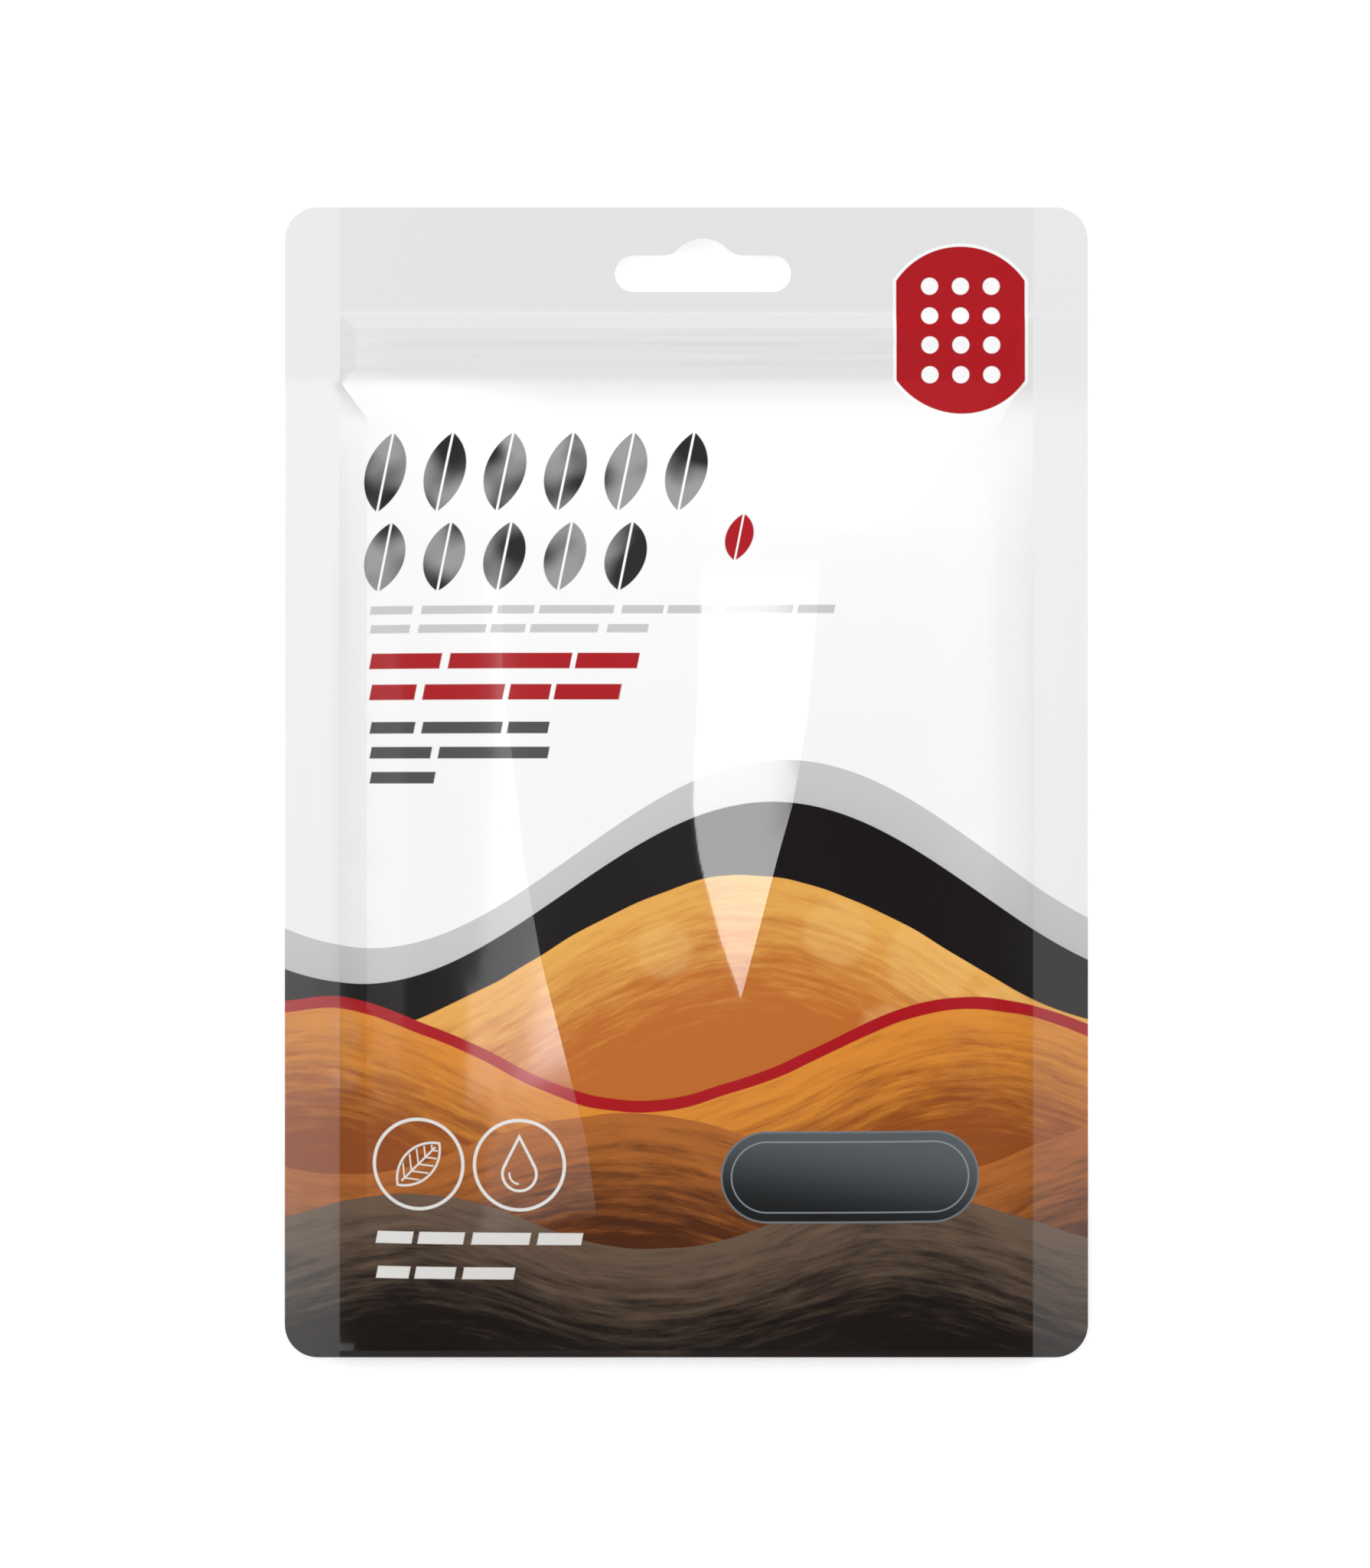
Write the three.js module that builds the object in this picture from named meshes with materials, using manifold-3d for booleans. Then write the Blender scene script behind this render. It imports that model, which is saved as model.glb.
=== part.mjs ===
// A resealable hang-hole pouch filled with twelve dried Indian almond leaves, lying on its back.
// Millimetres. x runs across the pouch, y up towards its hang hole, z up from the surface it lies on.
import * as THREE from "three";
import { mergeVertices } from "three/addons/utils/BufferGeometryUtils.js";
import Module from "manifold-3d";

const wasm = await Module();
wasm.setup();

// The flat outline of both webs of film
const POUCH_WIDTH = 146;
const POUCH_HEIGHT = 209;
const CORNER_RADIUS = 6;
const FILM = 0.3;

// What the seals, the zip and the fold take of that outline
const SIDE_SEAL = 10;
const HEADER_SEAL = 19.3;
const ZIP_START = 20.5;
const ZIP_END = 30;
const PILLOW_START = 31.7;
const FOLD_CREASE = 1.2;

// How far the two webs stand off the plane of the seals, in front and behind
const FRONT_BULGE = 10.8;
const BACK_BULGE = 6;
const ZIP_LIFT = 1.25;
const SIDE_SLOPE = 3;
const PILLOW_POWER = 4;
const RESTING_FULLNESS = 0.75;
const WEB_CELLS = { across: 20, along: 24 };
const TRIM_MARGIN = 1;

// The hang hole: a bar with round ends and a rounded crown on two hollow shoulders
const HOLE_X = 3;
const HOLE_WIDTH = 32;
const HOLE_TOP = 8.8;
const HOLE_BOTTOM = 15.4;
const CROWN_TOP = 5.7;
const CROWN_RADIUS = 6;
const SHOULDER_RADIUS = 4;

// The press-to-close zip: a flange on each web, a headed rib and the grooved jaws round it
const ZIP_CENTRE = 26.2;
const FLANGE = 0.3;
const ZIP_CLEARANCE = 0.3;
const RIB_STEM = 0.6;
const RIB_HEAD = 1.5;
const RIB_HEAD_HEIGHT = 0.5;
const JAW = 0.5;
const JAW_HOOK = 0.45;

// The leaves: shape of one leaf along shares of its length, from the cut end of its stalk to its tip
const LEAF_COUNT = 12;
const LEAF_LENGTHS = [104, 118];
const LEAF_WIDTH_SHARE = 0.46;
const LEAF_TAPER = 1.35;
const LEAF_ROUNDNESS = 0.72;
const BLADE = 0.6;
const STALK_SHARE = 0.09;
const STALK_HALF_WIDTH = 0.9;
const TIP_HALF_WIDTH = 0.5;
const MIDRIB_DEPTH = 0.45;
const MIDRIB_HALF_WIDTH = 1.3;
const SIDE_VEINS = 7;
const FIRST_VEIN = 0.13;
const LAST_VEIN = 0.97;
const VEIN_SLANT = 0.07;
const VEIN_RELIEF = 0.25;
const VEIN_LINE = 0.6;

// How the leaves lie in the pouch, one layer each, in two overlapping columns
const WEB_MARGIN = 0.3;
const COLUMN_OFFSET = 16;
const LEAF_SCATTER = { across: 2, along: 11, turn: 0.14, bend: 2.5 };
const CURL = { depth: 0.12, across: 9, along: 23 };
const SEED = 20;

// Places worked out from those sizes
const TOP = POUCH_HEIGHT / 2;
const INNER_HALF = POUCH_WIDTH / 2 - SIDE_SEAL;
const HEADER_Y = TOP - HEADER_SEAL;
const ZIP_TOP_Y = TOP - ZIP_START;
const ZIP_BOTTOM_Y = TOP - ZIP_END;
const PILLOW_TOP_Y = TOP - PILLOW_START;
const CREASE_Y = FOLD_CREASE - TOP;
const PILLOW_MIDDLE_Y = (PILLOW_TOP_Y + CREASE_Y) / 2;
const PILLOW_HALF = (PILLOW_TOP_Y - CREASE_Y) / 2;
const SEAM_Z = BACK_BULGE + FILM;

// Shape of the filled pouch

function ramp(distance, width) {
  return THREE.MathUtils.smoothstep(distance, 0, width);
}

// 1 where the webs are held apart, 0 in the seals and in the fold
function openShare(x, y) {
  const fromSeal = ramp(INNER_HALF - Math.abs(x), SIDE_SLOPE);
  const fromHeader = ramp(HEADER_Y - y, ZIP_START - HEADER_SEAL);
  const fromFold = ramp(y - CREASE_Y, SIDE_SLOPE);
  return fromSeal * fromHeader * fromFold;
}

// How full the pillow is at a distance from its middle: 1 there, 0 at its side
function fullness(distance, half) {
  return 1 - Math.min(1, Math.abs(distance) / half) ** PILLOW_POWER;
}

// 1 at the middle of the filled part, 0 at its four sides
function pillowShare(x, y) {
  return fullness(x, INNER_HALF) * fullness(y - PILLOW_MIDDLE_Y, PILLOW_HALF);
}

function frontInner(x, y) {
  const bulge = (FRONT_BULGE - ZIP_LIFT) * pillowShare(x, y);
  return SEAM_Z + ZIP_LIFT * openShare(x, y) + bulge;
}

// The back is pressed flat by what it rests on, over the rectangle that is fuller than RESTING_FULLNESS
function backInner(x, y) {
  const across = Math.min(1, fullness(x, INNER_HALF) / RESTING_FULLNESS);
  const along = Math.min(1, fullness(y - PILLOW_MIDDLE_Y, PILLOW_HALF) / RESTING_FULLNESS);
  const bulge = (BACK_BULGE - ZIP_LIFT) * across * along;
  return SEAM_Z - ZIP_LIFT * openShare(x, y) - bulge;
}

// Solids

function evenly(first, last, cells) {
  return Array.from({ length: cells + 1 }, (_, i) => first + ((last - first) * i) / cells);
}

// A closed sheet over a grid of rows and columns, split alike on both faces
function sheetGeometry(columns, rows, topPoint, bottomPoint) {
  const positions = [];
  const indices = [];
  const perFace = columns.length * rows.length;
  for (const point of [topPoint, bottomPoint]) {
    for (const row of rows) {
      for (const column of columns) positions.push(...point(column, row));
    }
  }
  const at = (face, row, column) => face * perFace + row * columns.length + column;
  for (let row = 0; row < rows.length - 1; row += 1) {
    for (let column = 0; column < columns.length - 1; column += 1) {
      for (const face of [0, 1]) {
        const a = at(face, row, column);
        const b = at(face, row, column + 1);
        const c = at(face, row + 1, column + 1);
        const d = at(face, row + 1, column);
        indices.push(...(face === 0 ? [a, b, c, a, c, d] : [a, c, b, a, d, c]));
      }
    }
  }
  const wall = (row0, column0, row1, column1) => {
    const a = at(1, row0, column0);
    const b = at(1, row1, column1);
    const c = at(0, row1, column1);
    const d = at(0, row0, column0);
    indices.push(a, b, c, a, c, d);
  };
  const lastRow = rows.length - 1;
  const lastColumn = columns.length - 1;
  for (let column = 0; column < lastColumn; column += 1) {
    wall(0, column, 0, column + 1);
    wall(lastRow, column + 1, lastRow, column);
  }
  for (let row = 0; row < lastRow; row += 1) {
    wall(row + 1, 0, row, 0);
    wall(row, lastColumn, row + 1, lastColumn);
  }
  const geometry = new THREE.BufferGeometry();
  geometry.setAttribute("position", new THREE.Float32BufferAttribute(positions, 3));
  geometry.setIndex(indices);
  return geometry;
}

function toManifold(geometry) {
  const bare = geometry.clone();
  bare.deleteAttribute("normal");
  bare.deleteAttribute("uv");
  const merged = mergeVertices(bare, 1e-4);
  const vertProperties = Float32Array.from(merged.getAttribute("position").array);
  const triVerts = Uint32Array.from(merged.getIndex().array);
  return new wasm.Manifold(new wasm.Mesh({ numProp: 3, vertProperties, triVerts }));
}

function toGeometry(manifold) {
  const { vertProperties, triVerts } = manifold.getMesh();
  const geometry = new THREE.BufferGeometry();
  geometry.setAttribute("position", new THREE.BufferAttribute(vertProperties, 3));
  geometry.setIndex(new THREE.BufferAttribute(triVerts, 1));
  return geometry;
}

// Pouch film

function hangHole() {
  const path = new THREE.Path();
  const barTop = TOP - HOLE_TOP;
  const endRadius = (HOLE_BOTTOM - HOLE_TOP) / 2;
  const barY = barTop - endRadius;
  const endX = HOLE_WIDTH / 2 - endRadius;
  const crownY = TOP - CROWN_TOP - CROWN_RADIUS;
  const shoulderY = barTop + SHOULDER_RADIUS;
  const rise = shoulderY - crownY;
  const shoulderX = Math.sqrt((CROWN_RADIUS + SHOULDER_RADIUS) ** 2 - rise ** 2);
  const meeting = Math.atan2(rise, shoulderX);
  const quarter = Math.PI / 2;
  path.absarc(HOLE_X - endX, barY, endRadius, quarter, 3 * quarter, false);
  path.absarc(HOLE_X + endX, barY, endRadius, -quarter, quarter, false);
  path.absarc(HOLE_X + shoulderX, shoulderY, SHOULDER_RADIUS, -quarter, meeting - Math.PI, true);
  path.absarc(HOLE_X, crownY, CROWN_RADIUS, meeting, Math.PI - meeting, false);
  path.absarc(HOLE_X - shoulderX, shoulderY, SHOULDER_RADIUS, -meeting, -quarter, true);
  path.closePath();
  return path;
}

// A block with the pouch's outline and its hang hole, tall enough to trim either web
function outlineBlock() {
  const shape = new THREE.Shape();
  const cornerX = POUCH_WIDTH / 2 - CORNER_RADIUS;
  const cornerY = POUCH_HEIGHT / 2 - CORNER_RADIUS;
  const corners = [[1, 1], [-1, 1], [-1, -1], [1, -1]];
  corners.forEach(([sideX, sideY], quadrant) => {
    const start = (quadrant * Math.PI) / 2;
    shape.absarc(sideX * cornerX, sideY * cornerY, CORNER_RADIUS, start, start + Math.PI / 2, false);
  });
  shape.closePath();
  shape.holes.push(hangHole());
  const depth = SEAM_Z + FRONT_BULGE + FILM + 2 * TRIM_MARGIN;
  const block = new THREE.ExtrudeGeometry(shape, { depth, bevelEnabled: false, curveSegments: 4 });
  return block.translate(0, 0, -TRIM_MARGIN);
}

// One web over the whole outline, with grid lines where its seals, slopes and flats begin
function webGeometry(lowerFace, upperFace) {
  const outerX = POUCH_WIDTH / 2 + TRIM_MARGIN;
  const openX = INNER_HALF - SIDE_SLOPE;
  const columns = [-outerX, -INNER_HALF, ...evenly(-openX, openX, WEB_CELLS.across), INNER_HALF, outerX];
  const rows = [-TOP - TRIM_MARGIN, CREASE_Y];
  rows.push(...evenly(CREASE_Y + SIDE_SLOPE, PILLOW_TOP_Y, WEB_CELLS.along));
  rows.push(ZIP_BOTTOM_Y, ZIP_TOP_Y, HEADER_Y, TOP + TRIM_MARGIN);
  const face = (height) => (x, y) => [x, y, height(x, y)];
  return sheetGeometry(columns, rows, face(upperFace), face(lowerFace));
}

function frontWeb() {
  const web = toManifold(webGeometry(frontInner, (x, y) => frontInner(x, y) + FILM));
  return toGeometry(web.intersect(toManifold(outlineBlock())));
}

function backWeb() {
  const web = toManifold(webGeometry((x, y) => backInner(x, y) - FILM, backInner));
  return toGeometry(web.intersect(toManifold(outlineBlock())));
}

// Zip

// A section drawn in y and z, drawn out along x between the side seals
function zipStrip(points) {
  const half = INNER_HALF - SIDE_SLOPE;
  const shape = new THREE.Shape(points.map(([y, z]) => new THREE.Vector2(y, z)));
  const strip = new THREE.ExtrudeGeometry(shape, { depth: 2 * half, bevelEnabled: false });
  const axes = new THREE.Matrix4().makeBasis(
    new THREE.Vector3(0, 1, 0),
    new THREE.Vector3(0, 0, 1),
    new THREE.Vector3(1, 0, 0),
  );
  return strip.applyMatrix4(axes).translate(-half, 0, 0);
}

// Mirrors one half of a section, listed from its middle outwards and back, about the zip's centre line
function wholeSection(halfSection) {
  const centreY = TOP - ZIP_CENTRE;
  const right = halfSection.map(([offset, z]) => [centreY + offset, z]);
  const left = halfSection.map(([offset, z]) => [centreY - offset, z]).reverse();
  return [...right, ...left];
}

const webAtZip = { front: SEAM_Z + ZIP_LIFT, back: SEAM_Z - ZIP_LIFT };
const ribBase = webAtZip.front - FLANGE;
const grooveBase = webAtZip.back + FLANGE;
const headBottom = grooveBase + ZIP_CLEARANCE;
const headTop = headBottom + RIB_HEAD_HEIGHT;
const hookBottom = headTop + ZIP_CLEARANCE;
const hookTop = ribBase - ZIP_CLEARANCE;
const flangeReach = ZIP_END - ZIP_CENTRE;
const jawInner = RIB_HEAD / 2 + ZIP_CLEARANCE;

function ribStrip() {
  return zipStrip(wholeSection([
    [RIB_HEAD / 2, headBottom],
    [RIB_HEAD / 2, headTop],
    [RIB_STEM / 2, headTop],
    [RIB_STEM / 2, ribBase],
    [flangeReach, ribBase],
    [flangeReach, webAtZip.front],
  ]));
}

function grooveStrip() {
  return zipStrip(wholeSection([
    [jawInner, grooveBase],
    [jawInner, hookBottom],
    [jawInner - JAW_HOOK, hookBottom],
    [jawInner - JAW_HOOK, hookTop],
    [jawInner + JAW, hookTop],
    [jawInner + JAW, grooveBase],
    [flangeReach, grooveBase],
    [flangeReach, webAtZip.back],
  ]));
}

// Leaves

// A small repeatable generator, so that every build scatters the leaves alike
function seededRandom(seed) {
  let state = seed;
  return () => {
    state = (state * 1664525 + 1013904223) % 4294967296;
    return state / 4294967296;
  };
}

function leafHalfWidth(along, fullHalf) {
  const blade = Math.max(0, (along - STALK_SHARE) / (1 - STALK_SHARE));
  const obovate = Math.sin(Math.PI * blade ** LEAF_TAPER) ** LEAF_ROUNDNESS;
  const least = THREE.MathUtils.lerp(STALK_HALF_WIDTH, TIP_HALF_WIDTH, blade);
  return Math.max(least, fullHalf * obovate);
}

// Height of one layer of the stack between the two webs, with a slow curl shared by all layers
function layerHeight(layer, x, y) {
  const share = (layer + 0.5 + WEB_MARGIN) / (LEAF_COUNT + 2 * WEB_MARGIN);
  const wave = Math.sin(x / CURL.across + y / CURL.along) * pillowShare(x, y) ** 2;
  const curled = share + CURL.depth * wave * share * (1 - share);
  return THREE.MathUtils.lerp(backInner(x, y), frontInner(x, y), curled);
}

// Lines run along the leaf: its midrib, the rib's foot, a line across the side veins, and its edge.
// Stations run across it along the side veins, slanted to the tip, and every second one is a vein.
function leafGeometry(layer, leaf) {
  const fullHalf = (leaf.length * LEAF_WIDTH_SHARE) / 2;
  const stations = [0, STALK_SHARE, ...evenly(FIRST_VEIN, LAST_VEIN, 2 * SIDE_VEINS), 1];
  const lines = [-3, -2, -1, 0, 1, 2, 3];
  const point = (line, station, face) => {
    const straight = stations[station];
    const half = leafHalfWidth(straight, fullHalf);
    const ribHalf = Math.min(MIDRIB_HALF_WIDTH * (1 - straight / 2), 0.4 * half);
    const offset = Math.sign(line) * [0, ribHalf, VEIN_LINE * half, half][Math.abs(line)];
    const bow = Math.sin(Math.PI * straight);
    const along = straight + VEIN_SLANT * bow * Math.abs(offset / fullHalf);
    const localX = offset + leaf.bend * bow;
    const localY = (along - 0.5) * leaf.length;
    const x = leaf.x + localX * Math.cos(leaf.turn) - localY * Math.sin(leaf.turn);
    const y = leaf.y + localX * Math.sin(leaf.turn) + localY * Math.cos(leaf.turn);
    const midrib = face < 0 && line === 0 ? MIDRIB_DEPTH * (1 - straight ** 2) : 0;
    const vein = Math.abs(line) === 2 && station % 2 === 0 ? VEIN_RELIEF : 0;
    return [x, y, layerHeight(layer, x, y) + (face * BLADE) / 2 - midrib - vein];
  };
  const upper = (line, station) => point(line, station, 1);
  const lower = (line, station) => point(line, station, -1);
  return sheetGeometry(lines, [...stations.keys()], upper, lower);
}

// Leaves alternate between the two columns, and every second pair lies the other way round
function leafPlaces() {
  const random = seededRandom(SEED);
  const spread = (reach) => (2 * random() - 1) * reach;
  return Array.from({ length: LEAF_COUNT }, (_, layer) => ({
    length: THREE.MathUtils.lerp(...LEAF_LENGTHS, random()),
    x: (layer % 2 === 0 ? -COLUMN_OFFSET : COLUMN_OFFSET) + spread(LEAF_SCATTER.across),
    y: PILLOW_MIDDLE_Y + spread(LEAF_SCATTER.along),
    turn: spread(LEAF_SCATTER.turn) + (layer % 4 < 2 ? 0 : Math.PI),
    bend: spread(LEAF_SCATTER.bend),
  }));
}

// Assembly

const materials = {
  printedFilm: new THREE.MeshStandardMaterial({ color: "#e8e8e8", roughness: 0.25, metalness: 0 }),
  zip: new THREE.MeshStandardMaterial({ color: "#dfdfdd", roughness: 0.4, metalness: 0 }),
  leaf: new THREE.MeshStandardMaterial({ color: "#8a5426", roughness: 0.75, metalness: 0 }),
};

function named(name, geometry, material) {
  const mesh = new THREE.Mesh(geometry, material);
  mesh.name = name;
  return mesh;
}

const pouch = new THREE.Group();
pouch.add(named("front_film", frontWeb(), materials.printedFilm));
pouch.add(named("back_film", backWeb(), materials.printedFilm));
pouch.add(named("zip_rib_strip", ribStrip(), materials.zip));
pouch.add(named("zip_groove_strip", grooveStrip(), materials.zip));

const leaves = new THREE.Group();
leafPlaces().forEach((leaf, layer) => {
  const number = String(layer + 1).padStart(2, "0");
  leaves.add(named(`leaf_${number}`, leafGeometry(layer, leaf), materials.leaf));
});
pouch.add(leaves);

export default pouch;
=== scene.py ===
"""A filled resealable pouch lying on its back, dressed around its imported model.

Blender works in metres. Named sizes here are millimetres in the pouch's own frame, unless they say
otherwise: x to the right across the pouch, y up towards its hang hole, z up from the floor.
"""
import math

import bpy
import numpy as np
from mathutils import Matrix, Vector


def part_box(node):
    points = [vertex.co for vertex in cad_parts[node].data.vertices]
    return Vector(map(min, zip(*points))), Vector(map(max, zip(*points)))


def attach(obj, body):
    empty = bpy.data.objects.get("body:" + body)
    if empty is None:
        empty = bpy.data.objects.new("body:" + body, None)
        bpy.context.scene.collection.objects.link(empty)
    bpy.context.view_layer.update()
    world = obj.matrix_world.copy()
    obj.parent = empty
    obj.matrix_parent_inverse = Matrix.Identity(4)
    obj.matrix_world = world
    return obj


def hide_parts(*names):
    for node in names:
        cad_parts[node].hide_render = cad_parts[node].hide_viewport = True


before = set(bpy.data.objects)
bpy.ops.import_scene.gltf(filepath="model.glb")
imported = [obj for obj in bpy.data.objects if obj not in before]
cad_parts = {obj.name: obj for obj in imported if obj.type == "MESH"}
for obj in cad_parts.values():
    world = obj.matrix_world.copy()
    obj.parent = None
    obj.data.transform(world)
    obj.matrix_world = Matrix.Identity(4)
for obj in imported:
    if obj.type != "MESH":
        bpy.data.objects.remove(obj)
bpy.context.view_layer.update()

MM = 0.001

# The pouch as it is built
FILM_LOW, FILM_HIGH = (Vector(corner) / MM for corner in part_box("front_film"))
HALF_WIDTH = FILM_HIGH.x
TOP = FILM_HIGH.y
SEAM_Z = FILM_LOW.z
BUILT_FILM = 0.3
FRONT_BULGE = FILM_HIGH.z - SEAM_Z - BUILT_FILM
BACK_BULGE = SEAM_Z - BUILT_FILM
CORNER_RADIUS = 6
SIDE_SEAL = 10
HEADER_SEAL = 19.3
ZIP_CENTRE = 26.2
PILLOW_START = 31.7
FOLD_CREASE = 1.2
ZIP_LIFT = 1.25
SIDE_SLOPE = 3
HEADER_SLOPE = 2.9
FOLD_SLOPE = 12
PILLOW_POWER = 4
RESTING_FULLNESS = 0.75
INNER_HALF = HALF_WIDTH - SIDE_SEAL
HEADER_Y = TOP - HEADER_SEAL
ZIP_Y = TOP - ZIP_CENTRE
PILLOW_TOP_Y = TOP - PILLOW_START
CREASE_Y = FOLD_CREASE - TOP
PILLOW_MIDDLE_Y = (PILLOW_TOP_Y + CREASE_Y) / 2
PILLOW_HALF = (PILLOW_TOP_Y - CREASE_Y) / 2

# The hang hole
HOLE_X = 3
HOLE_WIDTH = 32
HOLE_TOP = 8.8
HOLE_BOTTOM = 15.4
CROWN_TOP = 5.7
CROWN_RADIUS = 6
SHOULDER_RADIUS = 4

# The film as it looks: its thickness, the grid that carries its creases and the reach of its cutters
FILM = 0.16
GRID_X = 1.2
GRID_Y = 1.25
FINE_GRID_X = 0.6
FINE_GRID_Y = 0.4
CREASE_GRID_X = 0.35
CREASE_BAND = 3
GRID_MARGIN = 1
CUTTER_Z = (-3, 30)
SHARP_ANGLE = 30

# Widths of the slopes beside the side seals, as (y, width) upwards: narrowest just under the zip
LEFT_STRIP = ((65.8, 5.2), (72.2, 0.5), (75, SIDE_SLOPE))
RIGHT_STRIP = ((62, 8), (72.2, 2.2), (75, SIDE_SLOPE))

# The wedge and the ridge fade in over this share of the pillow's fullness
FACET_FADE = 0.4

# The wedge in the middle of the front: its crest as (y, x) and its left face as (y, width), both upwards
WEDGE_CREST = ((-39.5, 9.6), (-29.2, 12.3), (-14, 16.2), (-4, 19), (11.3, 21.7), (60, 26))
WEDGE_WIDTH = ((-39.5, 0), (-29.2, 6.4), (-14, 14.2), (-4, 18.2), (11.3, 20), (45, 22), (70, 0))
WEDGE_LEAST_WIDTH = 0.1
WEDGE_SLOPE = 0.11
WEDGE_HOLLOW = 0.11
WEDGE_FALL = 12
WEDGE_FALL_GROWTH = 1.4
WEDGE_FALL_POWER = 1.6

# The ridge down the left side: its crest as (y, x), its faces as (width, power), its ends as (y, length)
SHOULDER_CREST = ((-86, -15), (-64, -18), (-32, -26), (-15, -29), (20, -33))
SHOULDER_HEIGHT = 0.62
SHOULDER_LEFT = (14, 1.6)
SHOULDER_RIGHT = (24, 1.7)
SHOULDER_FOOT = (-98, 25)
SHOULDER_HEAD = (35, 35)

# The hips at the filled part's upper corners
HIP_HEIGHT_LEFT = 0.3
HIP_HEIGHT_RIGHT = 0.12
HIP_START = 1.7
HIP_SLOPE = 1.1
HIP_OUTER_WIDTH = 3.6
HIP_INNER_WIDTH = 9
HIP_LENGTH = 6
HIP_TOP_FADE = 2.5

# Puckers beside the side seals: their two waves along the seal, and where they lie inside it
PUCKER_HEIGHT = 0.05
PUCKER_LENGTH = 3.1
PUCKER_DRIFT = 2.5
PUCKER_DRIFT_LENGTH = 17
FINE_PUCKER_SHARE = 0.6
FINE_PUCKER_LENGTH = 1.9
FINE_PUCKER_SLANT = 5
PUCKER_INSET = 4.5
PUCKER_REACH = 4
PUCKER_TOP_FADE = 3

# The zip's jaws through the web, as (distance from its middle, width, share), with ripples along it
JAW_HEIGHT = 0.12
JAW_RIDGES = ((1.8, 0.9, 1), (3.9, 0.8, 0.4))
JAW_RIPPLES = ((0.3, 13, 1), (0.2, 5.3, 0))
JAW_INSET = 2
JAW_FADE = 10

# Swells over the leaves, each as (share, length across, length along, shift)
SWELL_HEIGHT = 0.09
SWELL_LEVEL = 1.7
SWELL_WAVES = ((1, 9, 46, 0.4), (0.7, 15, -31, 2))

# The short crease low on the left: two bumps, each as (height, y, length)
LEFT_CREASE_X = -58.2
LEFT_CREASE_SWAY = 0.2
LEFT_CREASE_SWAY_LENGTH = 6
LEFT_CREASE_WIDTHS = (3, 1)
LEFT_CREASE_BUMPS = ((0.42, -44.5, 3.6), (0.38, -54, 3))

# How steeply the back leaves the rectangle that is pressed flat
PRESSED_POWER = 1.3

# The photograph's frame in pixels, its scale at the pouch and where the pouch's middle lies in it
PHOTO = (1790, 2048)
HOLE_PIXELS = 230
PHOTO_SCALE = HOLE_WIDTH / HOLE_PIXELS
POUCH_PIXEL = (896.8, 1021.6)
LENS = 100
SENSOR = 36

# The whitest ink gives back this share of the light, so that the floor stays a little brighter
INK_WHITE = 0.8

# The floor, in metres, just under the pouch
FLOOR_HALF = 4.0
FLOOR_Z = -0.0002
FLOOR_GLOW = 0.35

# A softbox needs this many watts a square metre for a brightness of 1, which is a lit white sheet's
WATTS_PER_BRIGHTNESS = 4

# Softboxes that the gloss doesn't show, in metres: name, place, size and brightness
FILLS = (
    ("fill_top", (0.0, 1.2, 1.5), (1.6, 1.0), 3.25),
    ("fill_left", (-1.4, 0.2, 1.3), (1.0, 1.4), 2.85),
    ("fill_right", (1.4, 0.2, 1.3), (1.0, 1.4), 3.65),
)

# Level softboxes that the gloss shows, in metres: name, reach in x, reach in y and brightness
GLOSS_HEIGHT = 2.5
GLOSS_BOXES = (
    ("gloss_key", (-0.60, -0.38), (-0.45, 0.60), 9.2),
    ("gloss_side", (-0.94, -0.61), (-0.45, 0.60), 2.3),
    ("gloss_mid", (-2.30, -0.95), (-0.45, 0.60), 0.08),
    ("gloss_far", (-3.20, -2.31), (-0.45, 0.60), 0.48),
    ("gloss_low", (-0.66, -0.38), (-1.25, -0.46), 1.1),
)

# Brightness of the studio's walls from the horizon up, as (sine of the height angle, brightness)
WALLS = ((0.0, 0.8), (0.06, 0.74), (0.15, 0.11), (0.5, 0.011))


# Camera, lights and floor

def link(name, data):
    piece = bpy.data.objects.new(name, data)
    bpy.context.scene.collection.objects.link(piece)
    return piece


def make_camera():
    """A camera straight above the pouch that sees it where the photograph does."""
    data = bpy.data.cameras.new("camera")
    data.lens = LENS
    data.sensor_width = SENSOR
    camera = link("camera", data)
    x = (PHOTO[0] / 2 - POUCH_PIXEL[0]) * PHOTO_SCALE
    y = (POUCH_PIXEL[1] - PHOTO[1] / 2) * PHOTO_SCALE
    distance = PHOTO[1] * PHOTO_SCALE * LENS / SENSOR
    camera.location = Vector((x, y, SEAM_Z + distance)) * MM
    bpy.context.scene.camera = camera


def softbox(name, location, size, radiance):
    """A soft light in metres that shines at the pouch, its first side level along x."""
    data = bpy.data.lights.new(name, "AREA")
    data.shape = "RECTANGLE"
    data.size, data.size_y = size
    data.energy = WATTS_PER_BRIGHTNESS * radiance * size[0] * size[1]
    light = link(name, data)
    back = Vector(location).normalized()
    side = Vector((0, 1, 0)).cross(back).normalized()
    turn = Matrix((side, back.cross(side), back)).transposed()
    light.matrix_world = Matrix.Translation(location) @ turn.to_4x4()
    return light


def make_lights():
    """Fills that the gloss doesn't show, and softboxes high on the left that it does."""
    for name, location, size, radiance in FILLS:
        softbox(name, location, size, radiance).visible_glossy = False
    for name, (left, right), (low, high), radiance in GLOSS_BOXES:
        centre = ((left + right) / 2, (low + high) / 2, GLOSS_HEIGHT)
        softbox(name, centre, (right - left, high - low), radiance)


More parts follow.
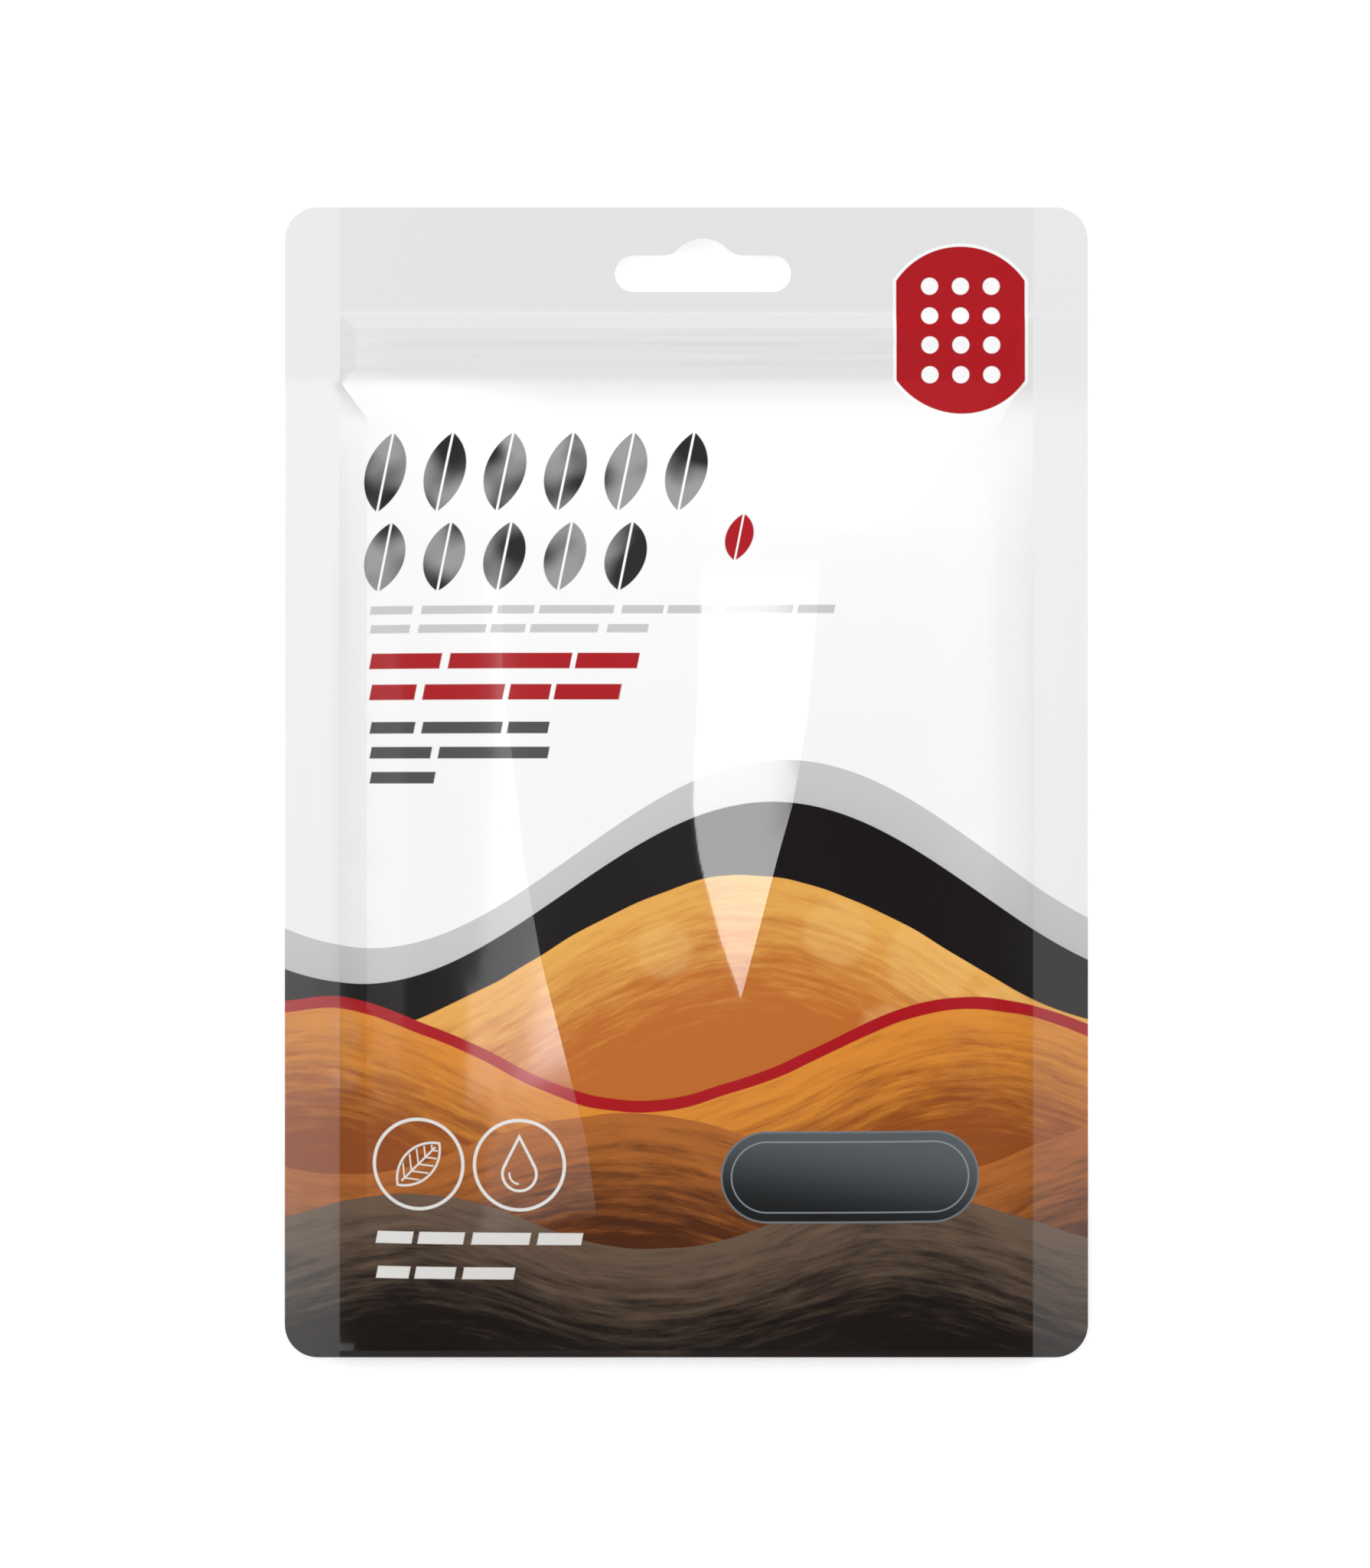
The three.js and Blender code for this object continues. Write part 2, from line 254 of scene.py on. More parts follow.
def make_world():
    """Studio walls that are pale round the horizon and nearly dark overhead."""
    world = bpy.data.worlds.new("studio")
    bpy.context.scene.world = world
    world.use_nodes = True
    tree = world.node_tree
    direction = tree.nodes.new("ShaderNodeTexCoord")
    parts = tree.nodes.new("ShaderNodeSeparateXYZ")
    walls = tree.nodes.new("ShaderNodeValToRGB")
    walls.color_ramp.interpolation = "EASE"
    stops = walls.color_ramp.elements
    for height, _ in WALLS[1:-1]:
        stops.new(height)
    for stop, (height, brightness) in zip(stops, WALLS):
        stop.position = height
        stop.color = (brightness, brightness, brightness, 1)
    tree.links.new(direction.outputs["Generated"], parts.inputs[0])
    tree.links.new(parts.outputs[2], walls.inputs[0])
    tree.links.new(walls.outputs[0], tree.nodes["Background"].inputs["Color"])


def make_floor():
    """A pale matt floor that glows faintly, so that it renders white."""
    mesh = bpy.data.meshes.new("floor")
    signs = ((-1, -1), (1, -1), (1, 1), (-1, 1))
    corners = [(x * FLOOR_HALF, y * FLOOR_HALF, FLOOR_Z) for x, y in signs]
    mesh.from_pydata(corners, [], [(0, 1, 2, 3)])
    floor = link("floor", mesh)
    material = bpy.data.materials.new("pale_floor")
    material.use_nodes = True
    shader = material.node_tree.nodes["Principled BSDF"]
    shader.inputs["Base Color"].default_value = (0.95, 0.95, 0.95, 1)
    shader.inputs["Roughness"].default_value = 0.9
    shader.inputs["Specular IOR Level"].default_value = 0
    shader.inputs["Emission Color"].default_value = (1, 1, 1, 1)
    shader.inputs["Emission Strength"].default_value = FLOOR_GLOW
    mesh.materials.append(material)


# Shape of the film, worked out on arrays

def ramp(distance, width):
    """0 up to a distance of 0, then smoothly up to 1 over a width."""
    share = np.clip(distance / width, 0, 1)
    return share * share * (3 - 2 * share)


def bell(distance, width):
    return np.exp(-((distance / width) ** 2))


def face(distance, width, power=1):
    """1 at a crest, falling to 0 at a width from it."""
    return np.clip(1 - distance / width, 0, 1) ** power


def open_share(x, y):
    """1 where the webs are held apart, 0 in the seals and the fold, with a kink where a slope ends."""
    strip = np.where(x < 0, along_line(y, LEFT_STRIP), along_line(y, RIGHT_STRIP))
    from_side = (INNER_HALF - np.abs(x)) / strip
    from_header = (HEADER_Y - y) / HEADER_SLOPE
    from_fold = np.clip((y - CREASE_Y) / FOLD_SLOPE, 0, 1)
    return np.clip(np.minimum(from_side, from_header), 0, 1) * from_fold * (2 - from_fold)


def fullness(distance, half):
    """How full the pillow is at a distance from its middle: 1 there, 0 at its side."""
    return 1 - np.minimum(1, np.abs(distance) / half) ** PILLOW_POWER


def pillow_share(x, y):
    """1 at the middle of the filled part, 0 at its four sides."""
    return fullness(x, INNER_HALF) * fullness(y - PILLOW_MIDDLE_Y, PILLOW_HALF)


def along_line(y, line):
    """The x of a line through points listed upwards as (y, x)."""
    heights, places = zip(*line)
    return np.interp(y, heights, places)


def strip_edges(y):
    """Where the slope beside each side seal ends, left and right."""
    return along_line(y, LEFT_STRIP) - INNER_HALF, INNER_HALF - along_line(y, RIGHT_STRIP)


def wedge_facet(x, y):
    """A facet in the middle of the front that rises to a sharp crest and runs out to a point below."""
    crest = along_line(y, WEDGE_CREST)
    width = along_line(y, WEDGE_WIDTH)
    up = face(crest - x, np.maximum(width, WEDGE_LEAST_WIDTH))
    rising = up * (1 - WEDGE_HOLLOW + WEDGE_HOLLOW * up)
    falling = face(x - crest, WEDGE_FALL + WEDGE_FALL_GROWTH * width, WEDGE_FALL_POWER)
    return WEDGE_SLOPE * width * np.where(x < crest, rising, falling)


def shoulder_ridge(x, y):
    """A ridge down the left side: flat film on its right, and a steeper shoulder on its left."""
    offset = x - along_line(y, SHOULDER_CREST)
    profile = np.where(offset < 0, face(-offset, *SHOULDER_LEFT), face(offset, *SHOULDER_RIGHT))
    foot_y, foot_length = SHOULDER_FOOT
    head_y, head_length = SHOULDER_HEAD
    fading = ramp(y - foot_y, foot_length) * (1 - ramp(y - head_y, head_length))
    return SHOULDER_HEIGHT * profile * fading


def corner_crease(x, y):
    """A straight hip that runs from each upper corner of the filled part towards its middle."""
    down = PILLOW_TOP_Y - y
    outwards = (np.abs(x) - INNER_HALF + HIP_SLOPE * (down - HIP_START)) / math.hypot(1, HIP_SLOPE)
    profile = np.where(outwards > 0, face(outwards, HIP_OUTER_WIDTH), face(-outwards, HIP_INNER_WIDTH))
    fading = (1 - ramp(down - HIP_LENGTH, HIP_LENGTH)) * (1 - ramp(-down, HIP_TOP_FADE))
    height = np.where(x < 0, HIP_HEIGHT_LEFT, HIP_HEIGHT_RIGHT)
    return height * profile * fading * open_share(x, y)


def seal_puckers(x, y):
    """Fine puckers that run into the filled part from the side seals."""
    inside = INNER_HALF - np.abs(x)
    drift = np.sin(y / PUCKER_DRIFT_LENGTH) * PUCKER_DRIFT
    wave = np.sin(y / PUCKER_LENGTH + drift + np.sign(x))
    wave += FINE_PUCKER_SHARE * np.sin(y / FINE_PUCKER_LENGTH + x / FINE_PUCKER_SLANT)
    beside_seal = bell(inside - PUCKER_INSET, PUCKER_REACH) * (inside > 0)
    fading = 1 - ramp(y - PILLOW_TOP_Y, PUCKER_TOP_FADE)
    return PUCKER_HEIGHT * wave * beside_seal * open_share(x, y) * fading


def zip_ridges(x, y):
    """The zip's two jaws showing softly through the web."""
    offset = np.abs(y - ZIP_Y)
    jaws = sum(share * bell(offset - place, width) for place, width, share in JAW_RIDGES)
    ripple = 1 + sum(share * np.sin(x / length + shift) for share, length, shift in JAW_RIPPLES)
    return JAW_HEIGHT * jaws * ramp(INNER_HALF - JAW_INSET - np.abs(x), JAW_FADE) * ripple


def film_swell(x, y):
    """The leaves underneath lift the film in long shallow swells along the pouch."""
    level = SWELL_LEVEL
    for share, across, along, shift in SWELL_WAVES:
        level = level + share * np.sin(x / across + y / along + shift)
    return SWELL_HEIGHT * level * pillow_share(x, y)


def left_crease(x, y):
    """A short upright crease near the left seal."""
    across = x - LEFT_CREASE_X + LEFT_CREASE_SWAY * np.sin(y / LEFT_CREASE_SWAY_LENGTH)
    profile = bell(across, np.where(across < 0, *LEFT_CREASE_WIDTHS))
    bumps = sum(height * bell(y - place, length) for height, place, length in LEFT_CREASE_BUMPS)
    return profile * bumps


def front_outer(x, y):
    """How high the outer face of the front web lies."""
    share = pillow_share(x, y)
    flat = SEAM_Z + ZIP_LIFT * open_share(x, y) + (FRONT_BULGE - ZIP_LIFT) * share
    facets = (wedge_facet(x, y) + shoulder_ridge(x, y)) * ramp(share, FACET_FADE)
    creases = corner_crease(x, y) + seal_puckers(x, y) + left_crease(x, y)
    return flat + FILM + facets + film_swell(x, y) + creases + zip_ridges(x, y)


def front_inner(x, y):
    return front_outer(x, y) - FILM


def pressed_share(x, y):
    """1 over the rectangle of the back that what it rests on presses flat."""
    across = np.minimum(1, fullness(x, INNER_HALF) / RESTING_FULLNESS)
    along = np.minimum(1, fullness(y - PILLOW_MIDDLE_Y, PILLOW_HALF) / RESTING_FULLNESS)
    return (1 - (1 - across) ** PRESSED_POWER) * (1 - (1 - along) ** PRESSED_POWER)


def back_inner(x, y):
    """How high the inner face of the back web lies."""
    bulge = (BACK_BULGE + BUILT_FILM - FILM - ZIP_LIFT) * pressed_share(x, y)
    return SEAM_Z - ZIP_LIFT * open_share(x, y) - bulge - zip_ridges(x, y)


def back_outer(x, y):
    return back_inner(x, y) - FILM


# Meshes

def even_lines(first, last, step):
    return np.linspace(first, last, max(2, round((last - first) / step) + 1))


def lines_between(stops):
    """Grid lines through stops listed as (place, step to the next stop)."""
    parts = [even_lines(first, last, step) for (first, step), (last, _) in zip(stops, stops[1:])]
    return np.unique(np.concatenate(parts).round(6))


def grid_rows():
    """The grid's heights: on the kinks that run across, and finer by the zip."""
    outer_y = TOP + GRID_MARGIN
    stops = ((-outer_y, GRID_Y), (CREASE_Y, GRID_Y), (LEFT_STRIP[0][0], FINE_GRID_Y),
             (HEADER_Y - HEADER_SLOPE, FINE_GRID_Y), (HEADER_Y, GRID_Y), (outer_y, GRID_Y))
    return lines_between(stops)


def grid_columns(rows):
    """The grid's places across each row: on the upright kinks and along the front's two crests."""
    outer_x = HALF_WIDTH + GRID_MARGIN
    left_edge, right_edge = strip_edges(rows)
    stops = ((-outer_x, GRID_X), (-INNER_HALF, CREASE_GRID_X), (left_edge, CREASE_GRID_X),
             (left_edge + CREASE_BAND, FINE_GRID_X), (along_line(rows, SHOULDER_CREST), FINE_GRID_X),
             (along_line(rows, WEDGE_CREST), GRID_X), (right_edge, GRID_X), (INNER_HALF, GRID_X),
             (outer_x, GRID_X))
    columns = []
    for (left, step), (right, _) in zip(stops, stops[1:]):
        width = right + 0 * rows - left
        count = round(width.mean() / step)
        columns += [left + width * number / count for number in range(count)]
    columns.append(outer_x + 0 * rows)
    return np.stack(columns, axis=1)


def sheet_mesh(name, lower, upper):
    """A closed thin sheet between two height functions over the whole grid."""
    rows = grid_rows()
    x = grid_columns(rows)
    y = np.repeat(rows[:, None], x.shape[1], axis=1)
    sheets = [np.stack([x, y, height(x, y)], axis=-1).reshape(-1, 3) for height in (upper, lower)]
    points = np.concatenate(sheets) * MM
    tall, wide = x.shape
    index = np.arange(2 * wide * tall).reshape(2, tall, wide)
    top, bottom = index
    top_faces = np.stack([top[:-1, :-1], top[:-1, 1:], top[1:, 1:], top[1:, :-1]], axis=-1)
    low_faces = np.stack([bottom[:-1, :-1], bottom[1:, :-1], bottom[1:, 1:], bottom[:-1, 1:]], axis=-1)
    faces = [top_faces.reshape(-1, 4), low_faces.reshape(-1, 4)]
    sides = [index[:, 0, :], index[:, 1:, -1], index[:, -1, -2::-1], index[:, -2:0:-1, 0]]
    rim = np.concatenate(sides, axis=1)
    after = np.roll(rim, -1, axis=1)
    faces.append(np.stack([rim[1], after[1], after[0], rim[0]], axis=-1))
    mesh = bpy.data.meshes.new(name)
    mesh.from_pydata(points.tolist(), [], np.concatenate(faces).tolist())
    return mesh


def arc(centre, radius, start, end, steps=12):
    angles = np.radians(np.linspace(start, end, steps + 1))
    return [(centre[0] + radius * math.cos(a), centre[1] + radius * math.sin(a)) for a in angles]


def outline_points():
    """The pouch's outline with its round corners, anticlockwise."""
    x, y = HALF_WIDTH - CORNER_RADIUS, TOP - CORNER_RADIUS
    points = []
    for quadrant, centre in enumerate([(x, y), (-x, y), (-x, -y), (x, -y)]):
        points += arc(centre, CORNER_RADIUS, 90 * quadrant, 90 * quadrant + 90)
    return points


def hole_points():
    """The hang hole's outline, anticlockwise: a bar with round ends and a crown on hollow shoulders."""
    bar_top = TOP - HOLE_TOP
    end_radius = (HOLE_BOTTOM - HOLE_TOP) / 2
    bar_y = bar_top - end_radius
    end_x = HOLE_WIDTH / 2 - end_radius
    crown_y = TOP - CROWN_TOP - CROWN_RADIUS
    shoulder_y = bar_top + SHOULDER_RADIUS
    rise = shoulder_y - crown_y
    shoulder_x = math.sqrt((CROWN_RADIUS + SHOULDER_RADIUS) ** 2 - rise**2)
    meeting = math.degrees(math.atan2(rise, shoulder_x))
    points = arc((HOLE_X - end_x, bar_y), end_radius, 90, 270)
    points += arc((HOLE_X + end_x, bar_y), end_radius, -90, 90)
    points += arc((HOLE_X + shoulder_x, shoulder_y), SHOULDER_RADIUS, -90, meeting - 180)[1:]
    points += arc((HOLE_X, crown_y), CROWN_RADIUS, meeting, 180 - meeting)[1:]
    points += arc((HOLE_X - shoulder_x, shoulder_y), SHOULDER_RADIUS, -meeting, -90)[1:]
    return points


def prism(name, points):
    """An upright solid over an outline, to cut the film with."""
    count = len(points)
    vertices = [(x * MM, y * MM, z * MM) for z in CUTTER_Z for x, y in points]
    sides = [(i, (i + 1) % count, count + (i + 1) % count, count + i) for i in range(count)]
    caps = [tuple(range(count))[::-1], tuple(range(count, 2 * count))]
    mesh = bpy.data.meshes.new(name)
    mesh.from_pydata(vertices, [], sides + caps)
    return link(name, mesh)


def finish_modifiers(piece):
    """Replaces a piece's mesh with what its modifiers make of it."""
    graph = bpy.context.evaluated_depsgraph_get()
    result = bpy.data.meshes.new_from_object(piece.evaluated_get(graph))
    piece.modifiers.clear()
    piece.data = result


def trimmed_film(name, lower, upper):
    """A web of film cut to the pouch's outline, with its hang hole."""
    film = link(name, sheet_mesh(name, lower, upper))
    cutters = [("INTERSECT", prism("outline_cutter", outline_points())),
               ("DIFFERENCE", prism("hole_cutter", hole_points()))]
    for operation, cutter in cutters:
        trim = film.modifiers.new(cutter.name, "BOOLEAN")
        trim.operation = operation
        trim.solver = "EXACT"
        trim.object = cutter
    finish_modifiers(film)
    for _, cutter in cutters:
        bpy.data.objects.remove(cutter)
    film.data.name = name
    film.data.shade_smooth()
    film.data.set_sharp_from_angle(angle=math.radians(SHARP_ANGLE))
    mark_kinks(film.data)
    return film


def on_line(places, line):
    return np.isclose(places, line, atol=0.01)


def mark_kinks(mesh):
    """Keeps the shading sharp where the film leaves a seal, where its slopes end and on the crests."""
    places = np.empty(len(mesh.vertices) * 3)
    mesh.vertices.foreach_get("co", places)
    x, y, _ = places.reshape(-1, 3).T / MM
    ends = np.empty(len(mesh.edges) * 2, dtype=int)
    mesh.edges.foreach_get("vertices", ends)
    first, second = ends.reshape(-1, 2).T
    left_edge, right_edge = strip_edges(y)
    lines = [on_line(np.abs(x), INNER_HALF), on_line(x, left_edge),
             on_line(x, right_edge) & (y > RIGHT_STRIP[0][0]), on_line(y, CREASE_Y),
             on_line(y, HEADER_Y), on_line(y, HEADER_Y - HEADER_SLOPE),
             on_line(x, along_line(y, SHOULDER_CREST)), on_line(x, along_line(y, WEDGE_CREST))]
    sharp = np.array([edge.use_edge_sharp for edge in mesh.edges])
    for line in lines:
        sharp |= line[first] & line[second]
    mesh.edges.foreach_set("use_edge_sharp", sharp)


# Numbers and colours that vary over a surface, as shader nodes

class Field:
    """A number that varies over a surface, kept as one output of a shader node tree."""

    def __init__(self, tree, socket):
        self.tree = tree
        self.socket = socket

    def math(self, operation, *operands):
        node = self.tree.nodes.new("ShaderNodeMath")
        node.operation = operation
        for slot, operand in zip(node.inputs, (self, *operands)):
            feed(self.tree, slot, operand)
        return Field(self.tree, node.outputs[0])

    def __add__(self, other):
        return self.math("ADD", other)

    def __sub__(self, other):
        return self.math("SUBTRACT", other)

    def __mul__(self, other):
        return self.math("MULTIPLY", other)

    def __truediv__(self, other):
        return self.math("DIVIDE", other)

    def __abs__(self):
        return self.math("ABSOLUTE")

    def sine(self):
        return self.math("SINE")

    def smaller(self, other):
        return self.math("MINIMUM", other)

    def larger(self, other):
        return self.math("MAXIMUM", other)

    def wrap(self, low, high):
        return self.math("WRAP", high, low)

    def step(self, start, end):
        """0 up to start, 1 from end, smooth between. With start above end it falls instead."""
        node = self.tree.nodes.new("ShaderNodeMapRange")
        node.interpolation_type = "SMOOTHSTEP"
        low, high, from_value, to_value = (start, end, 0, 1) if start < end else (end, start, 1, 0)
        for slot, value in zip(node.inputs, (self, low, high, from_value, to_value)):
            feed(self.tree, slot, value)
        return Field(self.tree, node.outputs[0])


def feed(tree, slot, value):
    """Gives a shader's input a field, another node's output or a plain value."""
    if isinstance(value, Field):
        tree.links.new(value.socket, slot)
    elif isinstance(value, bpy.types.NodeSocket):
        tree.links.new(value, slot)
    else:
        slot.default_value = value


def distance_from(x, y, centre):
    from_x = x - centre[0]
    from_y = y - centre[1]
    return (from_x * from_x + from_y * from_y).math("SQRT")


def disc(x, y, centre, radius):
    """The distance to a circle, below 0 inside it."""
    return distance_from(x, y, centre) - radius


def lens_shape(x, y, width, height):
    """The outline of a pointed leaf, upright on the origin, from two arcs."""
    near = width / 2
    far = (height / 2) ** 2 / near
    radius = (near + far) / 2
    offset = radius - near
    return disc(x, y, (-offset, 0), radius).larger(disc(x, y, (offset, 0), radius))


def rounded_bar(x, y, centre, half_width, half_height, radius):
    """The distance to the outline of a rectangle with round corners."""
    across = (abs(x - centre[0]) - (half_width - radius)).larger(0)
    along = (abs(y - centre[1]) - (half_height - radius)).larger(0)
    return (across * across + along * along).math("SQRT") - radius


def cover(distance, edge=0.12):
    """1 inside a shape, 0 outside it, from the distance to its outline."""
    return distance.step(edge, -edge)


def noise(tree, x, y, detail=3.0, roughness=0.5, z=0.0):
    """Soft noise from 0 to 1, in waves about 1 long."""
    place = tree.nodes.new("ShaderNodeCombineXYZ")
    for slot, value in zip(place.inputs, (x, y, z)):
        feed(tree, slot, value)
    node = tree.nodes.new("ShaderNodeTexNoise")
    node.inputs["Scale"].default_value = 1
    node.inputs["Detail"].default_value = detail
    node.inputs["Roughness"].default_value = roughness
    tree.links.new(place.outputs[0], node.inputs["Vector"])
    return Field(tree, node.outputs["Fac"])


def linear(level):
    """The share of the light behind a screen level from 0 to 255, by the sRGB curve."""
    share = level / 255
    return share / 12.92 if share <= 0.04045 else ((share + 0.055) / 1.055) ** 2.4


def ink(red, green, blue):
    """What an ink gives back, from the screen levels at which the photograph shows it."""
    return tuple(linear(level) * INK_WHITE for level in (red, green, blue)) + (1.0,)


def blend(tree, share, under, over):
    """One colour over another, where the share is 1."""
    node = tree.nodes.new("ShaderNodeMix")
    node.data_type = "RGBA"
    feed(tree, node.inputs["Factor"], share)
    feed(tree, node.inputs[6], under)
    feed(tree, node.inputs[7], over)
    return node.outputs[2]


class Print:
    """Inks laid over each other, each with the share of the surface that it covers."""

    def __init__(self, tree, colour):
        self.tree = tree
        self.colour = colour

    def lay(self, share, colour):
        self.colour = blend(self.tree, share, self.colour, colour)


def surface_place(tree):
    """Where a point of the surface lies on the pouch, in millimetres."""
    place = tree.nodes.new("ShaderNodeTexCoord")
    parts = tree.nodes.new("ShaderNodeSeparateXYZ")
    tree.links.new(place.outputs["Object"], parts.inputs[0])
    return tuple(Field(tree, output) / MM for output in parts.outputs)


# Inks, as the photograph shows them

WHITE = ink(254, 254, 254)
PALE_INK = ink(236, 234, 230)
# Pale grey for the header, whose fade under the zip is painted shade
HEADER_GREY_AND_SHADE = ink(231, 231, 231)
RED = ink(176, 26, 34)
CHARCOAL = ink(31, 27, 28)
LEAF_DARK = ink(44, 44, 46)
LEAF_LIGHT = ink(158, 158, 160)
PALE_LINE = ink(206, 206, 206)
DARK_LINE = ink(84, 82, 83)
BACKLIGHT = ink(255, 214, 140)
PLATE_RIM = ink(120, 124, 128)
PLATE_LOW = ink(34, 36, 38)
PLATE_HIGH = ink(92, 97, 101)
PLATE_LINE = ink(150, 153, 156)
# Grey for painted shade streaks over the zip
ZIP_SHADE_GREY = ink(196, 196, 196)

# Painted sheen on the seals: a grey laid thinly over the print stands in for the light the flat seals
# reflect, on a film that is a little rougher
SEAL_SHEEN_GREY = (0.3, 0.3, 0.3, 1.0)
SEAL_SHEEN_SHARE = 0.142
SEAL_EDGE = 0.2
FILM_ROUGHNESS = 0.28
FILM_ROUGHNESS_SPREAD = 0.12
FILM_MOTTLE = 9
SEAL_ROUGHNESS = 0.1

# Slackness of the film as (size across, size along, height), and the ribs pressed into its seals
LONG_SLACK = (11, 14, 0.035)
SHORT_SLACK = (3.5, 4.5, 0.006)
RIB_PITCH = 0.9
RIB_HEIGHT = 0.0006

# The picture: layers of ground, each with its level, swell, wave length and shift, and two inks
LAYERS = (
    ((-13, 17, 150, -20), ink(206, 207, 209), ink(192, 193, 195)),
    ((-20, 16.5, 150, -22), CHARCOAL, CHARCOAL),
    ((-31, 14, 148, -26), ink(240, 178, 90), ink(196, 112, 48)),
    ((-50, 9, 118, 22), ink(228, 146, 56), ink(150, 78, 34)),
    ((-65, 6, 104, -38), ink(184, 108, 50), ink(84, 46, 28)),
    ((-79, 5, 88, 16), ink(112, 92, 76), ink(34, 29, 27)),
)
COOL_DEPTH = 18
FIRST_WARM_LAYER = 2
CRIMSON_LAYER = 3
CRIMSON_WIDTH = 2.2
CREST_LINE = 0.35
CREST_LINE_SHARE = 0.5
WANDER = 3
WANDER_SIZE = 30

# The grain of the warm layers: its size along and across the layer, and how it darkens with depth
GRAIN_LENGTH = 14
GRAIN_THICKNESS = 1.7
GRAIN_DETAIL = 7
GRAIN_ROUGHNESS = 0.68
GRAIN_SHARE = 1.9
WARM_DEPTH = 24
WARM_STEP = (-0.1, 1)
CREST_GRAIN_STEP = (0.35, 0.65)
LAYER_SHIFT = 7.0

# Soft spots of light over the warm layers, as x, y and radius
GLOW_SPOTS = ((44, -32, 8), (57, -42, 5.5), (27, -27, 6), (62, -29, 4), (-4, -30, 5), (36, -45, 5))
GLOW_EDGE = 1.2
GLOW_SHARE = 0.2

# Rows of slanted bars: left end, bars, bar length, middle height, thickness, ink
SLANT = 0.2
BAR_GAP = 0.6
BAR_UNEVENNESS = 0.2
BAR_WAVE = 2.2
BAR_WAVE_CHANGE = 90
BAR_ROWS = (
    (-57.5, 8, 10.8, 31.0, 1.5, PALE_LINE),
    (-57.5, 5, 10.2, 27.6, 1.5, PALE_LINE),
    (-57.5, 3, 17.2, 21.8, 2.8, RED),
    (-57.5, 4, 11.6, 16.2, 2.8, RED),
    (-57.5, 3, 11.4, 9.8, 2.1, DARK_LINE),
    (-57.5, 2, 15.2, 5.3, 2.1, DARK_LINE),
    (-57.5, 1, 16.0, 0.8, 2.1, DARK_LINE),
    (-56.5, 4, 9.2, -82.2, 2.2, PALE_INK),
    (-56.5, 3, 8.4, -88.6, 2.2, PALE_INK),
)
BACK_BAR_ROWS = (
    (-54, 3, 16.0, 61.0, 2.8, RED),
    (4, 2, 13.0, 61.0, 2.8, RED),
    (-54, 4, 9.2, -82.2, 2.0, PALE_INK),
    (-54, 3, 8.4, -88.0, 2.0, PALE_INK),
)

# Paragraphs of fine bars on the back: left end, width, top and number of lines
PARAGRAPHS = ((-54, 50, 55, 9), (-54, 50, 17, 6), (-54, 50, -9, 10), (4, 50, 55, 13))
LINE_PITCH = 3.4
LINE_THICKNESS = 1.1
WORD = 7.0
WORD_GAP = 0.5
WORD_SHIFT = 2
WORD_WAVE = 2.3
WORD_UNEVENNESS = 0.2
RAGGED_WAVE = 2.7
RAGGED_END = 3
BACK_BOX = {"centre": (29, -22), "half_size": (25, 21), "radius": 2.5}
BACK_BOX_LINE = 0.3

# The dark foot of the back: how far its top edge lies below the middle, and its wave
BACK_FOOT = 66
BACK_WAVE = 4
BACK_WAVE_LENGTH = 21
BACK_STRIPE_OFFSET = 1.5
BACK_STRIPE = 2

# Rows of leaves: left end, number, middle height and size
LEAF_ROWS = ((-54.5, 6, 56.0, (7.4, 14.5)), (-54.5, 5, 40.6, (7.4, 12.5)))
LEAF_PITCH = 10.9
LEAF_RIB = (0.12, 0.32)
LEAF_TONE_SIZE = (13, 11)
LEAF_TONE_SHIFT = 3
LEAF_TONE_STEP = (0.36, 0.62)
SMALL_LEAF = (9.5, 44.0, 5.0, 8.5)
SMALL_LEAF_RIB = (0.1, 0.25)

# The badge, with its dots in three columns and four rows
BADGE = {"centre": (49.8, 82.0), "half_width": 11.7, "radius": 14.1, "stretch": 1.2}
BADGE_RIM = 0.55
DOT_PITCH = (5.6, 5.4)
DOT_COUNT = (3, 4)
DOT_RADIUS = 1.55

# The two rings, with a leaf and a drop in outline
RINGS = ((-48.3, -68.8), (-30.0, -68.8))
RING_RADIUS = 8.1
RING_LINE = 0.6
DIAGONAL = math.sqrt(0.5)
RING_LEAF_SIZE = (5.6, 10.8)
RING_LEAF_RIB = 4.2
VEIN_PITCH = 1.8
VEIN_SLANT = 0.8
VEIN_INSET = 0.5
DROP_TIP = 5.6
DROP_SIDE = (0.89, 0.455)
DROP_CENTRE = (0, -1.6)
DROP_RADIUS = 3.25
DROP_NECK = -0.2
DROP_INSET = 0.2
GLINT_RADIUS = 1.8
GLINT_CORNER = (-0.3, -1.5)
DRAWN_LINE = 0.12
LEAF_LINE = 0.08
FINE_LINE = 0.05

# The plain dark plate with round ends, and the fine line inside its edge
PLATE = {"centre": (29.5, -71.0), "half_size": (23.0, 8.0)}
PLATE_EDGE = 0.35
PLATE_LINE_INSET = 1.6
PLATE_SHEEN = (0.2, 0.5)

# The header's grey: where it fades out below the top, over what length, and how much sooner on the left;
# the fade is painted shade where the film rises into the pillow, and less grey lies over the seals
HEADER_FADE_START = 29.9
HEADER_FADE = (10, -0.5)
LEFT_FADE = (-20, -60)
LEFT_FADE_GAIN = 2
SEAL_HEADER_LOSS = 0.65
# Painted shade over the zip: faint grey streaks along its jaws
STREAK_SIZE = (50, 0.8)
STREAK_STEP = (0.42, 0.7)
STREAK_BAND = 4.5
STREAK_BAND_EDGE = 1.5
STREAK_SHARE = 0.12
# A painted highlight: a thin white line along the lower edge of the header seal, weaker over the side
# seals
SEAL_HIGHLIGHT_OFFSET = 0.05
SEAL_HIGHLIGHT_EDGE = (0.55, 0.2)
SEAL_HIGHLIGHT_LOSS = 0.6
SEAL_HIGHLIGHT_SHARE = 0.2


def crest(x, wave):
    """The height of a layer's wavy top."""
    level, swell, length, shift = wave
    return ((x - shift) * (2 * math.pi / length)).sine() * swell + level


